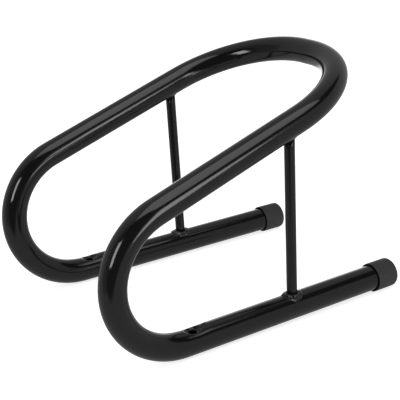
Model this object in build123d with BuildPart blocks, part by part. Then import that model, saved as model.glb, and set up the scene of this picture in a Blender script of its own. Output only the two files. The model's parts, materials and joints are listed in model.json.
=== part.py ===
# Floor stand for one bicycle wheel, bent from a single steel tube.
#
# Two legs lie on the floor, turn up and back at the front bends, rise as two
# sloping arms and join in a loop that stops the tyre. A round strut holds each
# arm above its leg, and a slip-on cap closes each cut end of the tube.
#
# Frame: +X from the front bends towards the caps, +Y to the left, +Z up.
# The origin is on the floor, midway between the two fixing holes.
import os
from math import asin, atan2, cos, hypot, radians, sin, tan

from build123d import *

# Driving dimensions, mm and degrees
tube_diameter = 25.0        # round steel tube, outside
tube_wall = 1.5
bend_radius = 67.5          # centreline radius of a front bend
leg_length = 242.0          # front bend's centre to the tube's cut end
spacing_at_bends = 206.5    # between the legs' centrelines at the front bends
spacing_at_caps = 199.5     # between the legs' centrelines at their cut ends
spacing_at_loop = 208.0     # between the arms' centrelines where the loop starts
arm_slope = 19.0            # arms above the floor
arm_straight = 159.0        # straight run from a front bend to the loop
loop_straight = 10.5        # short straight run between the loop's two bends

fixing_hole_diameter = 8.5  # clears an M8 screw
fixing_from_bend = 9.0      # front bend's centre to the fixing holes
dimple_depth = 3.2          # pressed below the crown of the tube
dimple_floor_diameter = 11.0
dimple_rim_diameter = 17.0

strut_diameter = 10.0       # solid round bar
strut_before_loop = 10.5    # from the strut's head along the arm to the loop
strut_lean = 2.5            # the strut's foot stands this far behind its head
foot_weld_leg = 4.5         # size of the bead round a strut's foot
head_weld_leg = 2.0         # the head has a smaller bead

cap_length = 25.0
cap_wall = 1.9
cap_floor = 2.5
cap_edge_radius = 3.0
cap_mouth_chamfer = 1.2
cap_gaps = {"left": 8.0, "right": 0.0}  # how far each cap is from being pushed home

# Sizes and places that follow from them
sides = {"left": 1, "right": -1}
tube_radius = tube_diameter / 2
strut_radius = strut_diameter / 2
cap_radius = tube_radius + cap_wall
slope = radians(arm_slope)
bend_x = -fixing_from_bend
bend_z = tube_radius + bend_radius

# The stand rests on its front bends and on its caps, which are thicker than
# the tube by their wall, so the legs rise a little towards the caps.
rest_span = leg_length + cap_floor + min(cap_gaps.values()) - cap_length
leg_rise = asin(bend_radius / hypot(rest_span, bend_radius - cap_wall))
leg_rise -= atan2(bend_radius - cap_wall, rest_span)
toe_in = atan2((spacing_at_bends - spacing_at_caps) / 2, leg_length)


def leg_point(from_bend, side):
    """Point on a leg's centreline, behind the front bend's centre by from_bend."""
    bend_end_x = bend_radius * sin(leg_rise)
    bend_end_z = bend_z - bend_radius * cos(leg_rise)
    y = spacing_at_bends / 2 - from_bend * tan(toe_in)
    return Vector(bend_x + from_bend, side * y, bend_end_z + (from_bend - bend_end_x) * tan(leg_rise))


def corner_point(side):
    """Where a leg's and its arm's centrelines would meet, ahead of the front bend."""
    reach = bend_radius / sin((slope - leg_rise) / 2)
    return leg_point(-reach * cos((slope + leg_rise) / 2), side)


def loop_start(side):
    """End of an arm's straight run."""
    x = bend_x - bend_radius * sin(slope) + arm_straight * cos(slope)
    z = bend_z + bend_radius * cos(slope) + arm_straight * sin(slope)
    return Vector(x, side * spacing_at_loop / 2, z)


def leg_direction(side):
    return (leg_point(leg_length, side) - corner_point(side)).normalized()


def arm_direction(side):
    return (loop_start(side) - corner_point(side)).normalized()


# The loop: each of its two bends turns an arm into the short cross run
arm_lean = asin(-arm_direction(1).Y)
loop_tangent = (spacing_at_loop - loop_straight) / 2 / (1 + sin(arm_lean))
loop_radius = loop_tangent / tan((radians(90) - arm_lean) / 2)

with BuildLine() as centreline:
    FilletPolyline(
        leg_point(leg_length, 1),
        corner_point(1),
        loop_start(1) + arm_direction(1) * loop_tangent,
        loop_start(-1) + arm_direction(-1) * loop_tangent,
        corner_point(-1),
        leg_point(leg_length, -1),
        radius=[bend_radius, loop_radius, loop_radius, bend_radius],
    )
cut_end = Plane(origin=leg_point(leg_length, 1), z_dir=leg_direction(1))

# The tube as a solid bar, which the struts and welds are cut to
with BuildPart() as tube_outside:
    with BuildSketch(cut_end):
        Circle(tube_radius)
    sweep(path=centreline.wire())

# A fixing hole goes down through each leg, in a dimple pressed into its crown
fixing_axes = [Axis(leg_point(fixing_from_bend, side), (0, 0, 1)) for side in sides.values()]


def dimple_plane(axis):
    """Upright plane through a fixing hole's axis, its origin level with the leg's crown."""
    return Plane(origin=axis.position + Vector(0, 0, tube_radius), x_dir=(1, 0, 0), z_dir=(0, -1, 0))


def dimple_section(metal):
    """Corners of a dimple's half section, widened by a thickness of metal."""
    run = (dimple_rim_diameter - dimple_floor_diameter) / 2
    flank = hypot(run, dimple_depth)
    floor_z = -dimple_depth - metal
    floor_radius = dimple_floor_diameter / 2 + metal * (flank - run) / dimple_depth
    top_radius = floor_radius + (tube_wall - floor_z) * run / dimple_depth
    return (0, floor_z), (floor_radius, floor_z), (top_radius, tube_wall), (0, tube_wall)


with BuildPart() as tube_bore:
    with BuildSketch(cut_end):
        Circle(tube_radius - tube_wall)
    sweep(path=centreline.wire())
    for axis in fixing_axes:
        with BuildSketch(dimple_plane(axis)):
            with BuildLine():
                Polyline(*dimple_section(tube_wall), close=True)
            make_face()
        revolve(axis=axis, mode=Mode.SUBTRACT)

with BuildPart() as frame_tube:
    add(tube_outside.part)
    for axis in fixing_axes:
        with BuildSketch(dimple_plane(axis)):
            with BuildLine():
                Polyline(*dimple_section(0), close=True)
            make_face()
        revolve(axis=axis, mode=Mode.SUBTRACT)
    add(tube_bore.part, mode=Mode.SUBTRACT)
    with BuildSketch():
        with Locations(*[(axis.position.X, axis.position.Y) for axis in fixing_axes]):
            Circle(fixing_hole_diameter / 2)
    extrude(amount=tube_diameter + cap_wall, mode=Mode.SUBTRACT)

parts = {"frame_tube": frame_tube.part}

for name, side in sides.items():
    head = loop_start(side) - arm_direction(side) * strut_before_loop
    foot = leg_point(head.X + strut_lean - bend_x, side)
    strut_plane = Plane(origin=foot, z_dir=head - foot)
    strut_length = (head - foot).length

    # Round bar between a leg and its arm, both ends shaped to sit on the tube
    with BuildPart() as strut:
        with BuildSketch(strut_plane):
            Circle(strut_radius)
        extrude(amount=strut_length)
        add(tube_outside.part, mode=Mode.SUBTRACT)
    parts["strut_" + name] = strut.part

    # Bead of weld round each end of the bar
    welds = {"foot_weld_": (foot, foot_weld_leg), "head_weld_": (head, head_weld_leg)}
    for weld_name, (joint, weld_leg) in welds.items():
        with BuildPart() as weld:
            add(tube_outside.part)
            with BuildSketch(strut_plane):
                Circle(strut_radius)
            extrude(amount=strut_length)
            chamfer(weld.edges(Select.NEW).sort_by_distance(joint)[0], length=weld_leg)
            with BuildSketch(strut_plane):
                Circle(strut_radius)
            extrude(amount=strut_length, mode=Mode.SUBTRACT)
            add(tube_outside.part, mode=Mode.SUBTRACT)
        parts[weld_name + name] = weld.part

    # Slip-on cap over the leg's cut end
    leg_end = Plane(origin=leg_point(leg_length, side), z_dir=leg_direction(side))
    cap_axis = Axis(leg_end.origin, leg_end.z_dir)
    cap_inside = leg_end.offset(cap_gaps[name])
    with BuildPart() as end_cap:
        with BuildSketch(cap_inside.offset(cap_floor)):
            Circle(cap_radius)
        extrude(amount=-cap_length)
        rims = end_cap.edges().filter_by(GeomType.CIRCLE)
        fillet(rims.sort_by(cap_axis)[-1], radius=cap_edge_radius)
        with BuildSketch(cap_inside):
            Circle(tube_radius)
        extrude(amount=cap_floor - cap_length, mode=Mode.SUBTRACT)
        mouth_rims = end_cap.edges().filter_by(GeomType.CIRCLE).group_by(cap_axis)[0]
        chamfer(mouth_rims.sort_by(SortBy.RADIUS)[0], length=cap_mouth_chamfer)
    parts["end_cap_" + name] = end_cap.part

os.makedirs("parts", exist_ok=True)
for name, part in parts.items():
    part.label = name
    export_step(part, f"parts/{name}.step")
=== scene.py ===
# Looks of a floor stand for one bicycle wheel, made around its CAD frame. Metres, +Z up.
#
# The stand is one bent steel tube with two legs, two arms and a loop, two round struts that
# are welded in by hand, and a soft cap on each cut end. Everything but the caps is coated black.
import json
from math import asin, atan2, ceil, cos, hypot, pi, radians, sin, sqrt, tan

import bmesh
import bpy
from mathutils import Matrix, Quaternion, Vector, noise


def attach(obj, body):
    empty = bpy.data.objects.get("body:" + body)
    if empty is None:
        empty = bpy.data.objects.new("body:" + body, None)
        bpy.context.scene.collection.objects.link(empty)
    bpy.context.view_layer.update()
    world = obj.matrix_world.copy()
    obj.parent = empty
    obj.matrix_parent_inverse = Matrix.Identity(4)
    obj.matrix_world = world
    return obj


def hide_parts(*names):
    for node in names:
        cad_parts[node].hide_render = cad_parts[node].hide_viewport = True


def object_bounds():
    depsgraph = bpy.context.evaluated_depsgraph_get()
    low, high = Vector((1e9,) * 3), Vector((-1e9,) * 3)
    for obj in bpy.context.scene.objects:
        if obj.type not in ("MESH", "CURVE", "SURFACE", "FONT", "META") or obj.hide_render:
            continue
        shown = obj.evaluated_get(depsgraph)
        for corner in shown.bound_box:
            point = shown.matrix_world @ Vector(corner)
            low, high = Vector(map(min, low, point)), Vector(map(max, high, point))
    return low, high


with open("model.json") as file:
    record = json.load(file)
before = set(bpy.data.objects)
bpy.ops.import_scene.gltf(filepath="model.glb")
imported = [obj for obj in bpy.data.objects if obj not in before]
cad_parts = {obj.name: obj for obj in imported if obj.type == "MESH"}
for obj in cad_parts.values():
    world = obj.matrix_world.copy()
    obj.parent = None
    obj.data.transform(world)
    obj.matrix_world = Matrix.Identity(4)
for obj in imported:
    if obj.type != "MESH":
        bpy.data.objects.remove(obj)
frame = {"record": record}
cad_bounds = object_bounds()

mm = 0.001
lengthways, upwards = Vector((1, 0, 0)), Vector((0, 0, 1))

# Driving dimensions, the same as in the CAD model
tube_radius = 12.5 * mm
tube_wall = 1.5 * mm
bend_radius = 67.5 * mm
leg_length = 242 * mm
spacing_at_bends = 206.5 * mm
spacing_at_caps = 199.5 * mm
spacing_at_loop = 208 * mm
arm_slope = radians(19)
arm_straight = 159 * mm
loop_straight = 10.5 * mm
fixing_from_bend = 9 * mm
dimple_depth = 3.2 * mm
dimple_floor_radius = 5.5 * mm
dimple_rim_radius = 8.5 * mm
strut_radius = 5 * mm
strut_before_loop = 10.5 * mm
strut_lean = 2.5 * mm
foot_weld_leg = 4.5 * mm
head_weld_leg = 2 * mm
cap_length = 25 * mm
cap_wall = 1.9 * mm
cap_floor = 2.5 * mm
cap_edge_radius = 3 * mm
cap_mouth_chamfer = 1.2 * mm
cap_gaps = {"left": 8 * mm, "right": 0}

sides = {"left": 1, "right": -1}
fixings = next(m for m in frame["record"]["mounts"] if m["name"] == "floor_fixings")
fixing_hole_radius = fixings["dims"]["hole_r_mm"] * mm
cap_radius = tube_radius + cap_wall
bend_x = -fixing_from_bend
bend_z = tube_radius + bend_radius

# The stand rests on its front bends and on its caps, so the legs rise a little towards the caps
rest_span = leg_length + cap_floor + min(cap_gaps.values()) - cap_length
leg_rise = asin(bend_radius / hypot(rest_span, bend_radius - cap_wall))
leg_rise -= atan2(bend_radius - cap_wall, rest_span)
toe_in = atan2((spacing_at_bends - spacing_at_caps) / 2, leg_length)


# ---- The tube's centreline ----

def leg_point(from_bend, side):
    """Point on a leg's centreline, behind the front bend's centre by from_bend."""
    bend_end_x = bend_radius * sin(leg_rise)
    bend_end_z = bend_z - bend_radius * cos(leg_rise)
    y = spacing_at_bends / 2 - from_bend * tan(toe_in)
    return Vector((bend_x + from_bend, side * y, bend_end_z + (from_bend - bend_end_x) * tan(leg_rise)))


def corner_point(side):
    """Where a leg's and its arm's centrelines would meet, ahead of the front bend."""
    reach = bend_radius / sin((arm_slope - leg_rise) / 2)
    return leg_point(-reach * cos((arm_slope + leg_rise) / 2), side)


def loop_start(side):
    """End of an arm's straight run."""
    x = bend_x - bend_radius * sin(arm_slope) + arm_straight * cos(arm_slope)
    z = bend_z + bend_radius * cos(arm_slope) + arm_straight * sin(arm_slope)
    return Vector((x, side * spacing_at_loop / 2, z))


def leg_direction(side):
    return (leg_point(leg_length, side) - corner_point(side)).normalized()


def arm_direction(side):
    return (loop_start(side) - corner_point(side)).normalized()


# ---- Small mesh helpers ----

sharp_turn = radians(50)      # faces that turn by more than this meet in a sharp edge


def frame_along(origin, along, top):
    """Placing matrix whose Z runs along a direction and whose X leans as near to top as it can."""
    across = along.cross(top).normalized()
    return Matrix.Translation(origin) @ Matrix((across.cross(along), across, along)).transposed().to_4x4()


def verts_of(geom):
    return [g for g in geom if isinstance(g, bmesh.types.BMVert)]


def edges_of(geom):
    return [g for g in geom if isinstance(g, bmesh.types.BMEdge)]


def faces_of(geom):
    return [g for g in geom if isinstance(g, bmesh.types.BMFace)]


def once(items):
    """The items in their first order, each only once."""
    return list(dict.fromkeys(items))


def new_ring(bm, place, radius, sides_round):
    """A circle of edges in the XY plane of its placing matrix."""
    made = bmesh.ops.create_circle(bm, segments=sides_round, radius=radius, matrix=place)
    return once(e for v in made["verts"] for e in v.link_edges)


def extrude_ring(bm, ring):
    """Leaves a strip of faces behind a ring of edges and returns the new ring, which hasn't moved yet."""
    made = bmesh.ops.extrude_edge_only(bm, edges=ring)["geom"]
    new = set(verts_of(made))
    return [e for e in edges_of(made) if new.issuperset(e.verts)]


def ring_verts(ring):
    return once(v for e in ring for v in e.verts)


def draw_straight(bm, ring, move, step):
    """Draws a ring along a straight run, in even steps of at most step."""
    count = ceil(move.length / step)
    for _ in range(count):
        ring = extrude_ring(bm, ring)
        bmesh.ops.translate(bm, vec=move / count, verts=ring_verts(ring))
    return ring


def draw_bend(bm, ring, corner, coming, going, radius, step):
    """Draws a ring round a bend that turns from one direction to another at a corner."""
    turn = coming.angle(going)
    centre = corner + (going - coming).normalized() * radius / cos(turn / 2)
    made = bmesh.ops.spin(
        bm, geom=ring_verts(ring) + ring, cent=centre, axis=coming.cross(going).normalized(),
        dvec=(0, 0, 0), angle=turn, steps=ceil(turn / step), use_merge=False, use_duplicate=False,
    )
    return edges_of(made["geom_last"])


def sharp_edges(bm):
    return [e for e in bm.edges if len(e.link_faces) == 2 and e.calc_face_angle() > sharp_turn]


def round_edges(bm, edges, offset, segments, clamp_overlap=False):
    bmesh.ops.bevel(
        bm, geom=edges, offset=offset, offset_type="OFFSET", segments=segments, profile=0.5,
        affect="EDGES", material=-1, clamp_overlap=clamp_overlap,
    )


def soft_min(a, b, width):
    """The lower of two heights, rounded over where they cross."""
    overlap = max(width - abs(a - b), 0) / width
    return min(a, b) - overlap * overlap * width / 4


def finish_piece(bm, name, material, replaced):
    """Turns a finished bmesh into a smooth-shaded piece that stands for a CAD node."""
    for face in bm.faces:
        face.smooth = True
    mesh = bpy.data.meshes.new(name)
    bm.to_mesh(mesh)
    bm.free()
    mesh.materials.append(material)
    piece = bpy.data.objects.new(name, mesh)
    bpy.context.scene.collection.objects.link(piece)
    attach(piece, "root")
    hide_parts(replaced)
    return piece


# ---- Materials ----

def colour(hex_code):
    """An sRGB hex colour as the linear RGBA that shaders work in."""
    parts = [int(hex_code[i:i + 2], 16) / 255 for i in (1, 3, 5)]
    return tuple(c / 12.92 if c <= 0.04045 else ((c + 0.055) / 1.055) ** 2.4 for c in parts) + (1,)


def add_node(owner, kind, inputs=(), **settings):
    """Adds a node to a material or a world. Settings are the node's own properties, and inputs
    are values, or sockets to link from."""
    tree = owner.node_tree
    node = tree.nodes.new("ShaderNode" + kind)
    for name, value in settings.items():
        setattr(node, name, value)
    for name, value in dict(inputs).items():
        if isinstance(value, bpy.types.NodeSocket):
            tree.links.new(value, node.inputs[name])
        else:
            node.inputs[name].default_value = value
    return node


def new_material(name):
    """An empty material with the Object coordinates that its patterns read."""
    material = bpy.data.materials.new(name)
    material.use_nodes = True
    material.node_tree.nodes.clear()
    return material, add_node(material, "TexCoord").outputs["Object"]


def powder_coat_on_tube():
    """Gloss black polyester powder coat on drawn steel tube: near black under a clear, wet-looking
    skin, whose orange peel of 2 to 3 mm makes the edges of reflections waver."""
    material, place = new_material("gloss_powder_coat")
    peel = add_node(material, "TexNoise", {"Vector": place, "Scale": 1 / (2.6 * mm), "Detail": 1.0})
    waves = add_node(material, "TexNoise", {"Vector": place, "Scale": 1 / (14 * mm), "Detail": 1.0})
    film = add_node(material, "TexNoise", {"Vector": place, "Scale": 1 / (22 * mm), "Detail": 4.0})
    peel_bump = add_node(material, "Bump", {"Height": peel.outputs["Fac"], "Distance": 0.012 * mm})
    bump = add_node(material, "Bump", {
        "Height": waves.outputs["Fac"], "Distance": 0.05 * mm, "Normal": peel_bump.outputs["Normal"]})
    roughness = add_node(material, "MapRange", {
        "Value": film.outputs["Fac"], "From Min": 0.3, "From Max": 0.7, "To Min": 0.08, "To Max": 0.14})
    tint = add_node(material, "Mix", {
        "Factor": film.outputs["Fac"], "A": colour("#0e0e0f"), "B": colour("#131314")}, data_type="RGBA")
    shader = add_node(material, "BsdfPrincipled", {
        "Base Color": tint.outputs["Result"], "Roughness": roughness.outputs["Result"],
        "IOR": 1.5, "Normal": bump.outputs["Normal"]})
    add_node(material, "OutputMaterial", {"Surface": shader.outputs["BSDF"]})
    return material


def moulded_cap_plastic():
    """Soft black PVC, dip moulded: a matte dark grey skin with a fine leathery grain."""
    material, place = new_material("moulded_soft_pvc")
    grain = add_node(material, "TexNoise", {"Vector": place, "Scale": 1 / (0.7 * mm), "Detail": 3.0})
    cloud = add_node(material, "TexNoise", {"Vector": place, "Scale": 1 / (9 * mm), "Detail": 3.0})
    bump = add_node(material, "Bump", {"Height": grain.outputs["Fac"], "Distance": 0.05 * mm})
    tint = add_node(material, "Mix", {
        "Factor": cloud.outputs["Fac"], "A": colour("#282829"), "B": colour("#2e2e2f")}, data_type="RGBA")
    shader = add_node(material, "BsdfPrincipled", {
        "Base Color": tint.outputs["Result"], "Roughness": 0.62, "IOR": 1.5,
        "Normal": bump.outputs["Normal"]})
    add_node(material, "OutputMaterial", {"Surface": shader.outputs["BSDF"]})
    return material


def pale_floor_paint():
    """Matte white studio floor with a very faint unevenness."""
    material, place = new_material("matte_white_floor")
    cloud = add_node(material, "TexNoise", {"Vector": place, "Scale": 1 / (400 * mm), "Detail": 3.0})
    tint = add_node(material, "Mix", {
        "Factor": cloud.outputs["Fac"], "A": colour("#f2f2f2"), "B": colour("#f8f8f8")}, data_type="RGBA")
    shader = add_node(material, "BsdfPrincipled", {
        "Base Color": tint.outputs["Result"], "Roughness": 0.9, "Specular IOR Level": 0.0,
        "Emission Color": colour("#ffffff"), "Emission Strength": 0.74})
    add_node(material, "OutputMaterial", {"Surface": shader.outputs["BSDF"]})
    return material


powder_coat = powder_coat_on_tube()
cap_plastic = moulded_cap_plastic()


# ---- The bent tube ----

tube_sides = 64
straight_step = 6 * mm
bend_step = radians(2.3)
seam = 0.01 * mm              # vertices this near to the mirror's plane are merged
cut_edge_rounding = 0.3 * mm  # the coat rounds every cut edge

patch_reach = {1: 11 * mm, -1: 6.5 * mm}    # finer mesh along the leg at a crown's and an underside's hole
patch_swing = radians(51)     # how far the finer mesh goes round the tube
patch_step = 1.2 * mm
hole_rings = {1: 12, -1: 3}   # rings of edges round a crown's and an underside's hole
hole_ring_step = 0.45 * mm
border_cuts = 2               # divisions between the outermost ring and the rest of the tube

press_rounding = 0.7 * mm     # how softly a dimple's rim rolls over
sag_reach = 18 * mm           # the press has also sagged the crown a little round each dimple
sag_depth = 0.8 * mm


def sag_at(from_hole, height):
    """How far the tube has sagged, at a distance from a dimple and a height above its middle."""
    spread = min(from_hole / sag_reach, 1)
    return sag_depth * (1 - spread ** 2) ** 2 * max(height, 0) / tube_radius


def leg_surface_height(x, y, up):
    """Height of the left leg's crown (up 1) or underside (up -1) at a place in plan."""
    middle = leg_point(x - bend_x, 1)
    hole = leg_point(fixing_from_bend, 1)
    half_height = sqrt(max(tube_radius ** 2 - (y - middle.y) ** 2, 0))
    sag = sag_at(hypot(x - hole.x, y - hole.y), up * half_height)
    if x > bend_x + bend_radius * sin(leg_rise):
        return middle.z + up * half_height - sag
    swing = bend_radius - up * half_height
    return bend_z - sqrt(swing ** 2 - (x - bend_x) ** 2) - sag


def dimple_height(from_hole, crown):
    """Height of a dimple's own surface, a flat floor inside a cone that climbs past the crown."""
    climb = dimple_depth / (dimple_rim_radius - dimple_floor_radius)
    floor = crown - dimple_depth
    flank = floor + (from_hole - dimple_floor_radius) * climb
    return -soft_min(-floor, -flank, press_rounding)


def open_fixing_hole(bm, hole, up):
    """Cuts a patch out of the left leg's crown (up 1) or underside (up -1) and refills it with
    rings round the fixing hole. The crown's ones are pressed into the dimple."""
    reach = patch_reach[up]
    across = min(reach, tube_radius * sin(patch_swing))
    to_leg = frame_along(hole, leg_direction(1), upwards).inverted()

    def in_patch(point, spare):
        spot = to_leg @ point
        on_wall = 0 < spot.x * up < 2 * tube_radius
        return on_wall and abs(spot.z) < reach + spare and abs(spot.y) < across + spare

    patch = [f for f in bm.faces if in_patch(f.calc_center_median(), 0)]
    bmesh.ops.delete(bm, geom=patch, context="FACES")
    spare = 2 * patch_step
    border = [e for e in bm.edges if e.is_boundary and in_patch(e.verts[0].co, spare)]

    place = Matrix.Translation(hole + up * tube_radius * upwards)
    radii = [fixing_hole_radius + hole_ring_step * i for i in range(hole_rings[up])]
    ring = new_ring(bm, place, fixing_hole_radius, len(border))
    for inner, outer in zip(radii, radii[1:]):
        ring = extrude_ring(bm, ring)
        widen = (outer / inner, outer / inner, 1)
        bmesh.ops.scale(bm, vec=widen, space=place.inverted(), verts=ring_verts(ring))
    rims = set(ring + border)
    bridge = bmesh.ops.bridge_loops(bm, edges=ring + border)
    spokes = once(e for f in bridge["faces"] for e in f.edges if e not in rims)
    bmesh.ops.subdivide_edges(bm, edges=spokes, cuts=border_cuts, use_grid_fill=True)

    crown = leg_surface_height(hole.x, hole.y, 1)
    for vert in bm.verts:
        if in_patch(vert.co, spare):
            height = leg_surface_height(vert.co.x, vert.co.y, up)
            if up > 0:
                dimple = dimple_height((vert.co.xy - hole.xy).length, crown)
                height = soft_min(height, dimple, press_rounding)
            vert.co.z = height


def build_frame_tube():
    """Half of the tube is drawn from the left leg's cut end to the middle of the loop, then mirrored."""
    leg, arm, across = leg_direction(1), arm_direction(1), Vector((0, -1, 0))
    cut_end = leg_point(leg_length, 1)
    hole = leg_point(fixing_from_bend, 1)
    bend_tangent = bend_radius * tan((-leg).angle(arm) / 2)
    bend_start = corner_point(1) + leg * bend_tangent
    bend_end = corner_point(1) + arm * bend_tangent
    loop_turn = arm.angle(across)
    loop_tangent = (spacing_at_loop - loop_straight) / 2 / (1 - arm.y)
    loop_radius = loop_tangent / tan(loop_turn / 2)
    loop_corner = loop_start(1) + arm * loop_tangent

    bm = bmesh.new()
    ring = new_ring(bm, frame_along(cut_end, leg, upwards), tube_radius, tube_sides)
    fine_start = hole + leg * sag_reach
    ring = draw_straight(bm, ring, fine_start - cut_end, straight_step)
    ring = draw_straight(bm, ring, bend_start - fine_start, patch_step)
    ring = draw_bend(bm, ring, corner_point(1), -leg, arm, bend_radius, bend_step)
    ring = draw_straight(bm, ring, loop_start(1) - bend_end, straight_step)
    ring = draw_bend(bm, ring, loop_corner, arm, across, loop_radius, bend_step)
    draw_straight(bm, ring, across * loop_straight / 2, straight_step)

    for vert in bm.verts:
        if vert.co.z < bend_z:
            vert.co.z -= sag_at((vert.co.xy - hole.xy).length, vert.co.z - hole.z)
    open_fixing_hole(bm, hole, up=1)
    open_fixing_hole(bm, hole, up=-1)

    half = bm.verts[:] + bm.edges[:] + bm.faces[:]
    bmesh.ops.mirror(bm, geom=half, matrix=Matrix(), merge_dist=seam, axis="Y")
    bmesh.ops.remove_doubles(bm, verts=bm.verts[:], dist=seam / 2)
    bmesh.ops.recalc_face_normals(bm, faces=bm.faces[:])
    bmesh.ops.solidify(bm, geom=bm.faces[:], thickness=tube_wall)
    round_edges(bm, sharp_edges(bm), cut_edge_rounding, 2, clamp_overlap=True)
    return finish_piece(bm, "bent_tube", powder_coat, "frame_tube")


# ---- Struts and their welds ----

strut_sides = 48
strut_cuts = 20
strut_sink = 0.4 * mm         # how far the shaped ends run into the tube's skin, under the weld

# A bead's section is a leaning ellipse. Its sizes are shares of the weld's leg.
bead_sizes = {"foot": foot_weld_leg, "head": 0.7 * head_weld_leg}    # the coat fills the small bead's toe
bead_sides, bead_steps = 24, 180
bead_half_width, bead_half_height = 0.78, 0.3
bead_lean = radians(20)
bead_out, bead_up = 0.56, 0.12      # its middle, out from the strut and up from the tube
puddles_round = 13                  # each stop of the torch leaves a rounded puddle
puddle_height, puddle_middle, puddle_drift = 0.09, 0.6, 0.5
wander_height, wander_length = 0.16, 6 * mm     # a hand-held torch wanders


def height_on_tube(offset, outward, along):
    """How far out from a tube's centreline a line beside a bar's axis leaves the tube."""
    flat_offset = offset - along * offset.dot(along)
    flat_outward = outward - along * outward.dot(along)
    size = flat_outward.length_squared
    half = flat_outward.dot(flat_offset) / size
    return sqrt(half ** 2 - (flat_offset.length_squared - tube_radius ** 2) / size) - half


def strut_ends(side):
    """Where a strut's axis meets the leg's and the arm's centrelines: foot, then head."""
    head = loop_start(side) - arm_direction(side) * strut_before_loop
    foot = leg_point(head.x + strut_lean - bend_x, side)
    return foot, head


def build_strut(name, side):
    """A round bar whose ends are shaped to sit on the tube."""
    foot, head = strut_ends(side)
    up = (head - foot).normalized()
    length = (head - foot).length
    place = frame_along(foot, up, lengthways)
    turn = place.to_3x3()
    bm = bmesh.new()
    bmesh.ops.create_circle(bm, cap_ends=True, cap_tris=True, segments=strut_sides, radius=strut_radius)
    made = bmesh.ops.extrude_face_region(bm, geom=bm.faces[:])["geom"]
    bmesh.ops.translate(bm, vec=(0, 0, length), verts=verts_of(made))
    for vert in bm.verts:
        offset = turn @ Vector((vert.co.x, vert.co.y, 0))
        if vert.co.z < length / 2:
            vert.co.z = height_on_tube(offset, up, leg_direction(side)) - strut_sink
        else:
            vert.co.z = length - height_on_tube(offset, -up, arm_direction(side)) + strut_sink
    uprights = [e for e in bm.edges if abs(e.verts[0].co.z - e.verts[1].co.z) > length / 2]
    bmesh.ops.subdivide_edges(bm, edges=uprights, cuts=strut_cuts, use_grid_fill=True)
    bmesh.ops.recalc_face_normals(bm, faces=bm.faces[:])
    bmesh.ops.transform(bm, matrix=place, verts=bm.verts[:])
    return finish_piece(bm, "strut_bar_" + name, powder_coat, "strut_" + name)


def build_weld(name, side, end):
    """A hand-made bead of weld round a strut's foot or head, spun flat and then wrapped on the tube."""
    foot, head = strut_ends(side)
    up = (head - foot).normalized()
    if end == "foot":
        start, outward, along = foot, up, leg_direction(side)
    else:
        start, outward, along = head, -up, arm_direction(side)
    place = frame_along(start, outward, lengthways)
    turn = place.to_3x3()
    size = bead_sizes[end]

    bm = bmesh.new()
    section = new_ring(bm, Matrix.Rotation(pi / 2, 4, "X"), 1, bead_sides)
    flat = Matrix.Diagonal((bead_half_width * size, 1, bead_half_height * size, 1))
    lean = Matrix.Rotation(bead_lean, 4, "Y")
    seat = Matrix.Translation((strut_radius + bead_out * size, 0, bead_up * size))
    bmesh.ops.transform(bm, matrix=seat @ lean @ flat, verts=ring_verts(section))
    bmesh.ops.spin(
        bm, geom=ring_verts(section) + section, cent=(0, 0, 0), axis=(0, 0, 1), dvec=(0, 0, 0),
        angle=2 * pi, steps=bead_steps, use_merge=True, use_duplicate=False,
    )
    bmesh.ops.recalc_face_normals(bm, faces=bm.faces[:])
    bm.normal_update()

    own_place_in_noise = Vector((0.3 * side, 0.2, 0.7 if end == "foot" else 0.4))
    for vert in bm.verts:
        wander = noise.noise(vert.co / wander_length + own_place_in_noise)
        round_strut = atan2(vert.co.y, vert.co.x) + puddle_drift * wander
        puddle = abs(sin(puddles_round / 2 * round_strut)) - puddle_middle
        vert.co += vert.normal * (puddle_height * puddle + wander_height * wander) * size
    for vert in bm.verts:
        round_tube = vert.co.y / tube_radius
        rise = vert.co.z
        on_skin = turn @ Vector((vert.co.x, tube_radius * sin(round_tube), 0))
        vert.co.y = (tube_radius + rise) * sin(round_tube)
        vert.co.z = height_on_tube(on_skin, outward, along) + rise * cos(round_tube)
    bmesh.ops.transform(bm, matrix=place, verts=bm.verts[:])
    return finish_piece(bm, f"{end}_weld_bead_{name}", powder_coat, f"{end}_weld_{name}")


# ---- End caps ----

cap_sides = 96
cap_end_steps, cap_lip_steps = 8, 3
cap_mouth_flare = 4 * mm      # depth of the mouth's flare, which shows as a dark gap round the tube
cap_lip_rounding = 0.25 * mm
nearly = 0.1 * mm


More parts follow.
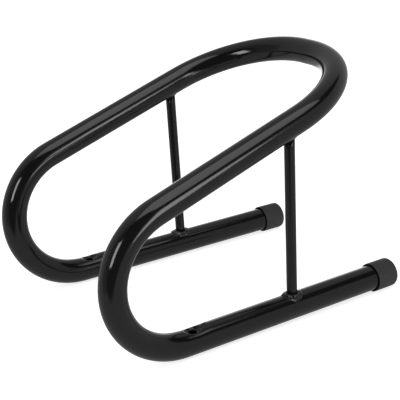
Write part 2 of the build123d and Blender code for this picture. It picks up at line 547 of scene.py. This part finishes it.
def build_cap(name, side):
    """A cup that slips over the tube's cut end, with a rounded closed end and a flared mouth."""
    along = leg_direction(side)
    mouth = leg_point(leg_length, side) + along * (cap_gaps[name] + cap_floor - cap_length)
    bm = bmesh.new()
    bmesh.ops.create_circle(bm, cap_ends=True, segments=cap_sides, radius=cap_radius)
    made = bmesh.ops.extrude_face_region(bm, geom=bm.faces[:], use_keep_orig=True)["geom"]
    bmesh.ops.translate(bm, vec=(0, 0, cap_length), verts=verts_of(made))

    lip = cap_wall - cap_mouth_chamfer
    inside = [f for f in bm.faces if len(f.verts) == cap_sides and f.verts[0].co.z == 0]
    bmesh.ops.inset_region(bm, faces=inside, thickness=lip, use_even_offset=True)
    shrink = tube_radius / (cap_radius - lip)
    for depth, shape in ((cap_mouth_flare, shrink), (cap_length - cap_floor - cap_mouth_flare, 1)):
        pushed = bmesh.ops.extrude_face_region(bm, geom=inside)["geom"]
        bmesh.ops.delete(bm, geom=inside, context="FACES_ONLY")
        inside = faces_of(pushed)
        bmesh.ops.scale(bm, vec=(shape, shape, 1), verts=verts_of(pushed))
        bmesh.ops.translate(bm, vec=(0, 0, depth), verts=verts_of(pushed))
    bmesh.ops.recalc_face_normals(bm, faces=bm.faces[:])

    end_rim = [e for e in sharp_edges(bm) if e.verts[0].co.z > cap_length - nearly]
    round_edges(bm, end_rim, cap_edge_radius, cap_end_steps)
    lip_rims = [e for e in sharp_edges(bm) if e.verts[0].co.z < nearly]
    round_edges(bm, lip_rims, cap_lip_rounding, cap_lip_steps)
    bmesh.ops.transform(bm, matrix=frame_along(mouth, along, upwards), verts=bm.verts[:])
    return finish_piece(bm, "slip_on_cap_" + name, cap_plastic, "end_cap_" + name)


build_frame_tube()
for name, side in sides.items():
    build_strut(name, side)
    build_weld(name, side, "foot")
    build_weld(name, side, "head")
    build_cap(name, side)


# ---- Studio: floor, lights and camera ----

lowest, highest = cad_bounds
centre = (lowest + highest) / 2
floor_reach = 8               # metres each way, past every edge of the picture


def towards(azimuth, elevation):
    """Unit vector at an azimuth from +Y round to +X and an elevation above the floor, in degrees."""
    a, e = radians(azimuth), radians(elevation)
    return Vector((sin(a) * cos(e), cos(a) * cos(e), sin(e)))


def build_floor():
    """A wide flat floor. Its white would be too bright in the coat, where the grey room shows instead."""
    bm = bmesh.new()
    bmesh.ops.create_grid(bm, x_segments=1, y_segments=1, size=floor_reach)
    bmesh.ops.translate(bm, vec=(centre.x, centre.y, lowest.z), verts=bm.verts[:])
    mesh = bpy.data.meshes.new("studio_floor")
    bm.to_mesh(mesh)
    bm.free()
    mesh.materials.append(pale_floor_paint())
    floor = bpy.data.objects.new("studio_floor", mesh)
    floor.visible_glossy = False
    bpy.context.scene.collection.objects.link(floor)


def soft_box(name, place, aim, width_along, width, height, brightness):
    """A rectangular light of even brightness, where 1 is the white of the picture."""
    light = bpy.data.lights.new(name, "AREA")
    light.shape = "RECTANGLE"
    light.size, light.size_y = width, height
    light.energy = pi * width * height * brightness
    lamp = bpy.data.objects.new(name, light)
    lamp.matrix_world = frame_along(place, (place - aim).normalized(), width_along)
    lamp.visible_camera = False
    bpy.context.scene.collection.objects.link(lamp)


def round_patch(world, view, middle, edge, full, level):
    """A round patch of the room that rises smoothly from 0 at its edge to a level, in degrees from
    its middle."""
    nearness = add_node(world, "VectorMath", {0: view, 1: middle}, operation="DOT_PRODUCT")
    patch = add_node(world, "MapRange", {
        "Value": nearness.outputs["Value"], "From Min": cos(radians(edge)),
        "From Max": cos(radians(full)), "To Max": level}, interpolation_type="SMOOTHSTEP")
    return patch.outputs["Result"]


def build_room():
    """A pale grey room for the coat to mirror. It is dark behind the camera and in a belt above the
    panels on the right, half dark on the left down to the table's edge, and it glows low at the
    back. The camera itself sees white behind the floor."""
    world = bpy.data.worlds.new("studio_room")
    world.use_nodes = True
    world.node_tree.nodes.clear()
    view = add_node(world, "TexCoord").outputs["Generated"]
    height = add_node(world, "SeparateXYZ", {"Vector": view}).outputs["Z"]
    above_panels = add_node(world, "MapRange", {
        "Value": height, "From Min": sin(radians(32)), "From Max": sin(radians(36))},
        interpolation_type="SMOOTHSTEP")
    above_table = add_node(world, "MapRange", {
        "Value": height, "From Min": sin(radians(-20)), "From Max": sin(radians(-15))},
        interpolation_type="SMOOTHSTEP")

    front = round_patch(world, view, towards(-137, 20), edge=50, full=40, level=1)
    left = round_patch(world, view, towards(-110, 18), edge=52, full=38, level=0.55)
    right = round_patch(world, view, towards(130, 0), edge=66.42, full=56.63, level=1)
    glow = round_patch(world, view, towards(32, -2), edge=26, full=8, level=1.1)
    belt = add_node(world, "Math", {0: right, 1: above_panels.outputs["Result"]}, operation="MULTIPLY")
    flank = add_node(world, "Math", {0: left, 1: above_table.outputs["Result"]}, operation="MULTIPLY")
    sides_dark = add_node(
        world, "Math", {0: belt.outputs["Value"], 1: flank.outputs["Value"]}, operation="MAXIMUM")
    dark = add_node(world, "Math", {0: sides_dark.outputs["Value"], 1: front}, operation="MAXIMUM")
    grey = add_node(world, "MapRange", {"Value": dark.outputs["Value"], "To Min": 0.41, "To Max": 0.03})
    lit = add_node(world, "Math", {0: grey.outputs["Result"], 1: glow}, operation="ADD")

    seen = add_node(world, "LightPath").outputs["Is Camera Ray"]
    strength = add_node(
        world, "Mix", {"Factor": seen, "A": lit.outputs["Value"], "B": 1.0}, data_type="FLOAT")
    light = add_node(world, "Background", {
        "Color": colour("#ffffff"), "Strength": strength.outputs["Result"]})
    add_node(world, "OutputWorld", {"Surface": light.outputs["Background"]})
    bpy.context.scene.world = world


build_floor()
build_room()
ceiling = Vector((0.27, -1.08, 3.15))
soft_box("ceiling_soft_box", place=ceiling, aim=ceiling - upwards, width_along=towards(137, 0),
         width=3.0, height=2.2, brightness=1.42)
soft_box("left_soft_box", place=centre + 2 * towards(-111, 20), aim=centre, width_along=upwards,
         width=0.9, height=0.52, brightness=6.5)
soft_box("right_strip_light", place=centre + 1.5 * towards(170, 10), aim=centre,
         width_along=Vector((0.25, 0, 1)), width=0.92, height=0.34, brightness=4.2)

camera_azimuth = radians(-31.38)
camera_elevation = radians(20.0)
camera_roll = radians(-2.67)
camera_distance = 0.987
camera_aim = centre + Vector((-3.7, -5.5, -18.2)) * mm
camera_lens = 90.9
camera_data = bpy.data.cameras.new("camera")
camera_data.lens = camera_lens
camera = bpy.data.objects.new("camera", camera_data)
back = Vector((sin(camera_azimuth), -cos(camera_azimuth), 0)) * cos(camera_elevation)
back += upwards * sin(camera_elevation)
camera.location = camera_aim + back * camera_distance
camera.rotation_mode = "QUATERNION"
camera.rotation_quaternion = (-back).to_track_quat("-Z", "Y") @ Quaternion((0, 0, 1), camera_roll)
bpy.context.scene.collection.objects.link(camera)
bpy.context.scene.camera = camera
bpy.context.scene.view_settings.view_transform = "Standard"
